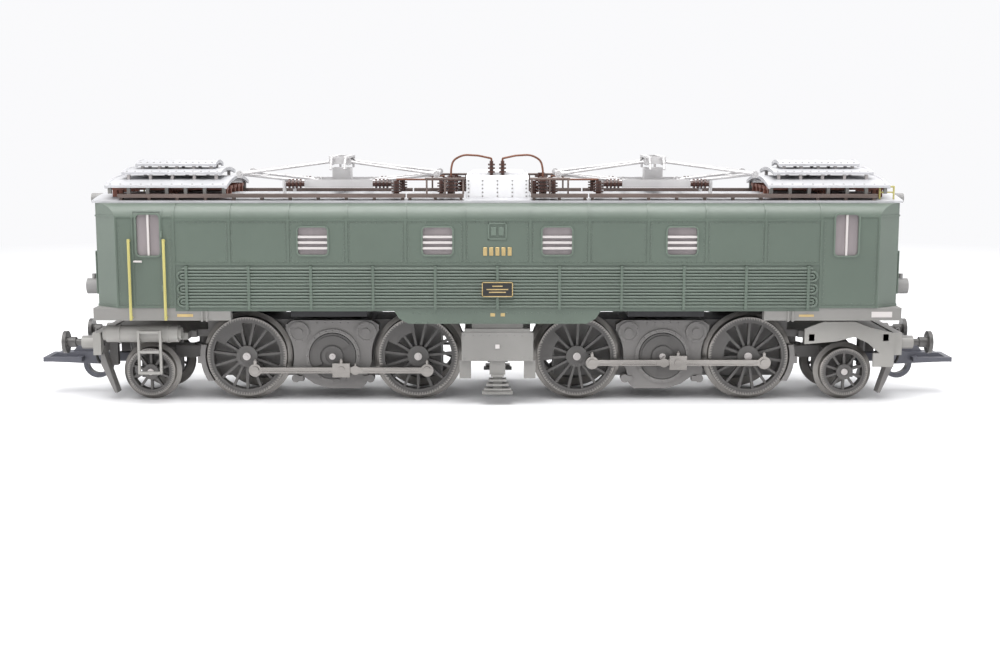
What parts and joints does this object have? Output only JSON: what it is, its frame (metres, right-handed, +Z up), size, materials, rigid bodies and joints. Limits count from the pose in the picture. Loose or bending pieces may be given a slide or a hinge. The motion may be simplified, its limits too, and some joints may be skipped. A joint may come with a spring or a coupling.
{
  "type": "model electric locomotive",
  "caption": "H0 electric rod-drive locomotive: long ribbed body, swivelling bogies with spoked wheels and coupling rods, two folding pantographs, sprung buffers.",
  "frame": {"origin": "under the middle of the body, at the lowest point of the wheel flanges", "axes": "+X along the track, +Z up"},
  "size_m": [0.2032, 0.0368, 0.0539],
  "materials": {
    "body_green": "satin",
    "frame_grey": "matt",
    "bogie_grey": "matt",
    "roof_silver": "satin",
    "frame_trim": "satin",
    "glass": "clear",
    "white_trim": "satin",
    "yellow_trim": "satin",
    "lamp_grey": "satin",
    "chassis_metal": "cast",
    "motor_metal": "plated",
    "drive_brass": "turned",
    "roof_brown": "matt",
    "resistor_brown": "matt",
    "insulator_brown": "glossy",
    "copper_wire": "satin",
    "pantograph_grey": "satin",
    "wheel_steel": "turned tyres, painted centres",
    "rod_nickel": "plated",
    "coupler_grey": "satin",
    "buffer_dark": "satin"
  },
  "bodies": {
    "body": {"main_chassis": "chassis_metal", "underframe": "frame_grey", "body_shell": "body_green", "roof_plate": "roof_silver", "cooling_pipes": "body_green", "window_frames": "frame_trim", "window_glass": "glass", "window_guards": "white_trim", "cab_handrails": "yellow_trim", "headlamps": "lamp_grey", "centre_boxes": "frame_grey", "motor": "motor_metal", "roof_walkways": "roof_brown", "resistor_covers": "roof_silver", "resistor_frames": "resistor_brown", "transformer_hood": "roof_silver", "roof_insulators": "insulator_brown", "roof_conductors": "copper_wire", "pantograph_bases": "pantograph_grey"},
    "drive_shaft": {"drive_shaft": "drive_brass"},
    "front_bogie": {"front_bogie_frame": "bogie_grey"},
    "front_jackshaft": {"front_jackshaft": "wheel_steel"},
    "front_outer_driver": {"front_outer_driver": "wheel_steel"},
    "front_inner_driver": {"front_inner_driver": "wheel_steel"},
    "front_outer_rod_right": {"front_outer_rod_right": "rod_nickel"},
    "front_inner_rod_right": {"front_inner_rod_right": "rod_nickel"},
    "front_outer_rod_left": {"front_outer_rod_left": "rod_nickel"},
    "front_inner_rod_left": {"front_inner_rod_left": "rod_nickel"},
    "front_idler_gear": {"front_idler_gear": "drive_brass"},
    "front_worm": {"front_worm": "drive_brass"},
    "front_bissel": {"front_bissel_frame": "bogie_grey"},
    "front_carrier": {"front_carrier_wheelset": "wheel_steel"},
    "front_coupler": {"front_coupler": "coupler_grey"},
    "front_buffer_left": {"front_buffer_left": "buffer_dark"},
    "front_buffer_right": {"front_buffer_right": "buffer_dark"},
    "front_outer_lower_arm": {"front_outer_lower_arm": "pantograph_grey"},
    "front_outer_upper_arm": {"front_outer_upper_arm": "pantograph_grey"},
    "front_inner_lower_arm": {"front_inner_lower_arm": "pantograph_grey"},
    "front_inner_upper_arm": {"front_inner_upper_arm": "pantograph_grey"},
    "front_pantograph_head": {"front_pantograph_head": "pantograph_grey"},
    "rear_bogie": {"rear_bogie_frame": "bogie_grey"},
    "rear_jackshaft": {"rear_jackshaft": "wheel_steel"},
    "rear_outer_driver": {"rear_outer_driver": "wheel_steel"},
    "rear_inner_driver": {"rear_inner_driver": "wheel_steel"},
    "rear_outer_rod_right": {"rear_outer_rod_right": "rod_nickel"},
    "rear_inner_rod_right": {"rear_inner_rod_right": "rod_nickel"},
    "rear_outer_rod_left": {"rear_outer_rod_left": "rod_nickel"},
    "rear_inner_rod_left": {"rear_inner_rod_left": "rod_nickel"},
    "rear_idler_gear": {"rear_idler_gear": "drive_brass"},
    "rear_worm": {"rear_worm": "drive_brass"},
    "rear_bissel": {"rear_bissel_frame": "bogie_grey"},
    "rear_carrier": {"rear_carrier_wheelset": "wheel_steel"},
    "rear_coupler": {"rear_coupler": "coupler_grey"},
    "rear_buffer_left": {"rear_buffer_left": "buffer_dark"},
    "rear_buffer_right": {"rear_buffer_right": "buffer_dark"},
    "rear_outer_lower_arm": {"rear_outer_lower_arm": "pantograph_grey"},
    "rear_outer_upper_arm": {"rear_outer_upper_arm": "pantograph_grey"},
    "rear_inner_lower_arm": {"rear_inner_lower_arm": "pantograph_grey"},
    "rear_inner_upper_arm": {"rear_inner_upper_arm": "pantograph_grey"},
    "rear_pantograph_head": {"rear_pantograph_head": "pantograph_grey"}
  },
  "joints": [
    {"name": "drive_shaft_spin", "type": "hinge", "parent": "body", "child": "drive_shaft", "pos_m": [0, 0, 0.0236], "axis": [1, 0, 0], "continuous": true},
    {"name": "front_bogie_swivel", "type": "hinge", "parent": "body", "child": "front_bogie", "pos_m": [0.0362, 0, 0.02], "axis": [0, 0, 1], "range_deg": [-6.5, 6.5]},
    {"name": "front_jackshaft_spin", "type": "hinge", "parent": "front_bogie", "child": "front_jackshaft", "pos_m": [0.0362, 0, 0.0098], "axis": [0, 1, 0], "continuous": true},
    {"name": "front_outer_driver_spin", "type": "hinge", "parent": "front_bogie", "child": "front_outer_driver", "pos_m": [0.055, 0, 0.0098], "axis": [0, 1, 0], "continuous": true},
    {"name": "front_inner_driver_spin", "type": "hinge", "parent": "front_bogie", "child": "front_inner_driver", "pos_m": [0.0174, 0, 0.0098], "axis": [0, 1, 0], "continuous": true},
    {"name": "front_outer_rod_right_pivot", "type": "hinge", "parent": "front_jackshaft", "child": "front_outer_rod_right", "pos_m": [0.03949, -0.0112, 0.0086], "axis": [0, 1, 0], "continuous": true},
    {"name": "front_inner_rod_right_pivot", "type": "hinge", "parent": "front_inner_driver", "child": "front_inner_rod_right", "pos_m": [0.02069, -0.0112, 0.0086], "axis": [0, 1, 0], "continuous": true},
    {"name": "front_outer_rod_left_pivot", "type": "hinge", "parent": "front_jackshaft", "child": "front_outer_rod_left", "pos_m": [0.0374, 0.0112, 0.01309], "axis": [0, 1, 0], "continuous": true},
    {"name": "front_inner_rod_left_pivot", "type": "hinge", "parent": "front_inner_driver", "child": "front_inner_rod_left", "pos_m": [0.0186, 0.0112, 0.01309], "axis": [0, 1, 0], "continuous": true},
    {"name": "front_idler_gear_spin", "type": "hinge", "parent": "front_bogie", "child": "front_idler_gear", "pos_m": [0.0362, 0, 0.0182], "axis": [0, 1, 0], "continuous": true},
    {"name": "front_worm_spin", "type": "hinge", "parent": "front_bogie", "child": "front_worm", "pos_m": [0.0362, 0, 0.0236], "axis": [1, 0, 0], "continuous": true},
    {"name": "front_bissel_swing", "type": "hinge", "parent": "front_bogie", "child": "front_bissel", "pos_m": [0.0663, 0, 0.01], "axis": [0, 0, 1], "range_deg": [-5, 5]},
    {"name": "front_carrier_spin", "type": "hinge", "parent": "front_bissel", "child": "front_carrier", "pos_m": [0.0762, 0, 0.00635], "axis": [0, 1, 0], "continuous": true},
    {"name": "front_coupler_swing", "type": "hinge", "parent": "front_bogie", "child": "front_coupler", "pos_m": [0.082, 0, 0.008], "axis": [0, 0, 1], "range_deg": [-10, 10], "stiffness_Nm_per_rad": 0.0005},
    {"name": "front_buffer_left_push", "type": "slide", "parent": "front_bogie", "child": "front_buffer_left", "axis": [-1, 0, 0], "range_m": [0, 0.0012], "stiffness_N_per_m": 150, "springref_m": -0.0004},
    {"name": "front_buffer_right_push", "type": "slide", "parent": "front_bogie", "child": "front_buffer_right", "axis": [-1, 0, 0], "range_m": [0, 0.0012], "stiffness_N_per_m": 150, "springref_m": -0.0004},
    {"name": "front_pantograph_raise", "type": "hinge", "parent": "body", "child": "front_outer_lower_arm", "pos_m": [0.04055, 0, 0.0477], "axis": [0, -1, 0], "range_deg": [0, 43]},
    {"name": "front_outer_upper_arm_pivot", "type": "hinge", "parent": "front_outer_lower_arm", "child": "front_outer_upper_arm", "pos_m": [0.05575, 0, 0.0495], "axis": [0, 1, 0], "range_deg": [0, 80]},
    {"name": "front_inner_lower_arm_pivot", "type": "hinge", "parent": "body", "child": "front_inner_lower_arm", "pos_m": [0.02835, 0, 0.0477], "axis": [0, 1, 0], "range_deg": [0, 43]},
    {"name": "front_inner_upper_arm_pivot", "type": "hinge", "parent": "front_inner_lower_arm", "child": "front_inner_upper_arm", "pos_m": [0.01315, 0, 0.0495], "axis": [0, -1, 0], "range_deg": [0, 80]},
    {"name": "front_pantograph_head_level", "type": "hinge", "parent": "front_outer_upper_arm", "child": "front_pantograph_head", "pos_m": [0.03625, 0, 0.052], "axis": [0, -1, 0], "range_deg": [0, 37]},
    {"name": "rear_bogie_swivel", "type": "hinge", "parent": "body", "child": "rear_bogie", "pos_m": [-0.0362, 0, 0.02], "axis": [0, 0, 1], "range_deg": [-6.5, 6.5]},
    {"name": "rear_jackshaft_spin", "type": "hinge", "parent": "rear_bogie", "child": "rear_jackshaft", "pos_m": [-0.0362, 0, 0.0098], "axis": [0, 1, 0], "continuous": true},
    {"name": "rear_outer_driver_spin", "type": "hinge", "parent": "rear_bogie", "child": "rear_outer_driver", "pos_m": [-0.055, 0, 0.0098], "axis": [0, 1, 0], "continuous": true},
    {"name": "rear_inner_driver_spin", "type": "hinge", "parent": "rear_bogie", "child": "rear_inner_driver", "pos_m": [-0.0174, 0, 0.0098], "axis": [0, 1, 0], "continuous": true},
    {"name": "rear_outer_rod_right_pivot", "type": "hinge", "parent": "rear_jackshaft", "child": "rear_outer_rod_right", "pos_m": [-0.03419, -0.0112, 0.00693], "axis": [0, 1, 0], "continuous": true},
    {"name": "rear_inner_rod_right_pivot", "type": "hinge", "parent": "rear_inner_driver", "child": "rear_inner_rod_right", "pos_m": [-0.01539, -0.0112, 0.00693], "axis": [0, 1, 0], "continuous": true},
    {"name": "rear_outer_rod_left_pivot", "type": "hinge", "parent": "rear_jackshaft", "child": "rear_outer_rod_left", "pos_m": [-0.03333, 0.0112, 0.01181], "axis": [0, 1, 0], "continuous": true},
    {"name": "rear_inner_rod_left_pivot", "type": "hinge", "parent": "rear_inner_driver", "child": "rear_inner_rod_left", "pos_m": [-0.01453, 0.0112, 0.01181], "axis": [0, 1, 0], "continuous": true},
    {"name": "rear_idler_gear_spin", "type": "hinge", "parent": "rear_bogie", "child": "rear_idler_gear", "pos_m": [-0.0362, 0, 0.0182], "axis": [0, 1, 0], "continuous": true},
    {"name": "rear_worm_spin", "type": "hinge", "parent": "rear_bogie", "child": "rear_worm", "pos_m": [-0.0362, 0, 0.0236], "axis": [1, 0, 0], "continuous": true},
    {"name": "rear_bissel_swing", "type": "hinge", "parent": "rear_bogie", "child": "rear_bissel", "pos_m": [-0.0663, 0, 0.01], "axis": [0, 0, 1], "range_deg": [-5, 5]},
    {"name": "rear_carrier_spin", "type": "hinge", "parent": "rear_bissel", "child": "rear_carrier", "pos_m": [-0.0762, 0, 0.00635], "axis": [0, 1, 0], "continuous": true},
    {"name": "rear_coupler_swing", "type": "hinge", "parent": "rear_bogie", "child": "rear_coupler", "pos_m": [-0.082, 0, 0.008], "axis": [0, 0, 1], "range_deg": [-10, 10], "stiffness_Nm_per_rad": 0.0005},
    {"name": "rear_buffer_left_push", "type": "slide", "parent": "rear_bogie", "child": "rear_buffer_left", "axis": [1, 0, 0], "range_m": [0, 0.0012], "stiffness_N_per_m": 150, "springref_m": -0.0004},
    {"name": "rear_buffer_right_push", "type": "slide", "parent": "rear_bogie", "child": "rear_buffer_right", "axis": [1, 0, 0], "range_m": [0, 0.0012], "stiffness_N_per_m": 150, "springref_m": -0.0004},
    {"name": "rear_pantograph_raise", "type": "hinge", "parent": "body", "child": "rear_outer_lower_arm", "pos_m": [-0.04055, 0, 0.0477], "axis": [0, 1, 0], "range_deg": [0, 43]},
    {"name": "rear_outer_upper_arm_pivot", "type": "hinge", "parent": "rear_outer_lower_arm", "child": "rear_outer_upper_arm", "pos_m": [-0.05575, 0, 0.0495], "axis": [0, -1, 0], "range_deg": [0, 80]},
    {"name": "rear_inner_lower_arm_pivot", "type": "hinge", "parent": "body", "child": "rear_inner_lower_arm", "pos_m": [-0.02835, 0, 0.0477], "axis": [0, -1, 0], "range_deg": [0, 43]},
    {"name": "rear_inner_upper_arm_pivot", "type": "hinge", "parent": "rear_inner_lower_arm", "child": "rear_inner_upper_arm", "pos_m": [-0.01315, 0, 0.0495], "axis": [0, 1, 0], "range_deg": [0, 80]},
    {"name": "rear_pantograph_head_level", "type": "hinge", "parent": "rear_outer_upper_arm", "child": "rear_pantograph_head", "pos_m": [-0.03625, 0, 0.052], "axis": [0, 1, 0], "range_deg": [0, 37]}
  ],
  "couplings": [
    {"joint": "drive_shaft_spin", "follows": "front_jackshaft_spin", "ratio": 28},
    {"joint": "front_outer_driver_spin", "follows": "front_jackshaft_spin", "ratio": 1},
    {"joint": "front_inner_driver_spin", "follows": "front_jackshaft_spin", "ratio": 1},
    {"joint": "front_outer_rod_right_pivot", "follows": "front_jackshaft_spin", "ratio": -1},
    {"joint": "front_inner_rod_right_pivot", "follows": "front_jackshaft_spin", "ratio": -1},
    {"joint": "front_outer_rod_left_pivot", "follows": "front_jackshaft_spin", "ratio": -1},
    {"joint": "front_inner_rod_left_pivot", "follows": "front_jackshaft_spin", "ratio": -1},
    {"joint": "front_idler_gear_spin", "follows": "front_jackshaft_spin", "ratio": -1},
    {"joint": "front_worm_spin", "follows": "front_jackshaft_spin", "ratio": 28},
    {"joint": "front_outer_upper_arm_pivot", "follows": "front_pantograph_raise", "ratio": 1.845},
    {"joint": "front_inner_lower_arm_pivot", "follows": "front_pantograph_raise", "ratio": 1},
    {"joint": "front_inner_upper_arm_pivot", "follows": "front_pantograph_raise", "ratio": 1.845},
    {"joint": "front_pantograph_head_level", "follows": "front_pantograph_raise", "ratio": 0.845},
    {"joint": "rear_jackshaft_spin", "follows": "front_jackshaft_spin", "ratio": 1},
    {"joint": "rear_outer_driver_spin", "follows": "front_jackshaft_spin", "ratio": 1},
    {"joint": "rear_inner_driver_spin", "follows": "front_jackshaft_spin", "ratio": 1},
    {"joint": "rear_outer_rod_right_pivot", "follows": "front_jackshaft_spin", "ratio": -1},
    {"joint": "rear_inner_rod_right_pivot", "follows": "front_jackshaft_spin", "ratio": -1},
    {"joint": "rear_outer_rod_left_pivot", "follows": "front_jackshaft_spin", "ratio": -1},
    {"joint": "rear_inner_rod_left_pivot", "follows": "front_jackshaft_spin", "ratio": -1},
    {"joint": "rear_idler_gear_spin", "follows": "front_jackshaft_spin", "ratio": -1},
    {"joint": "rear_worm_spin", "follows": "front_jackshaft_spin", "ratio": 28},
    {"joint": "rear_outer_upper_arm_pivot", "follows": "rear_pantograph_raise", "ratio": 1.845},
    {"joint": "rear_inner_lower_arm_pivot", "follows": "rear_pantograph_raise", "ratio": 1},
    {"joint": "rear_inner_upper_arm_pivot", "follows": "rear_pantograph_raise", "ratio": 1.845},
    {"joint": "rear_pantograph_head_level", "follows": "rear_pantograph_raise", "ratio": 0.845}
  ]
}
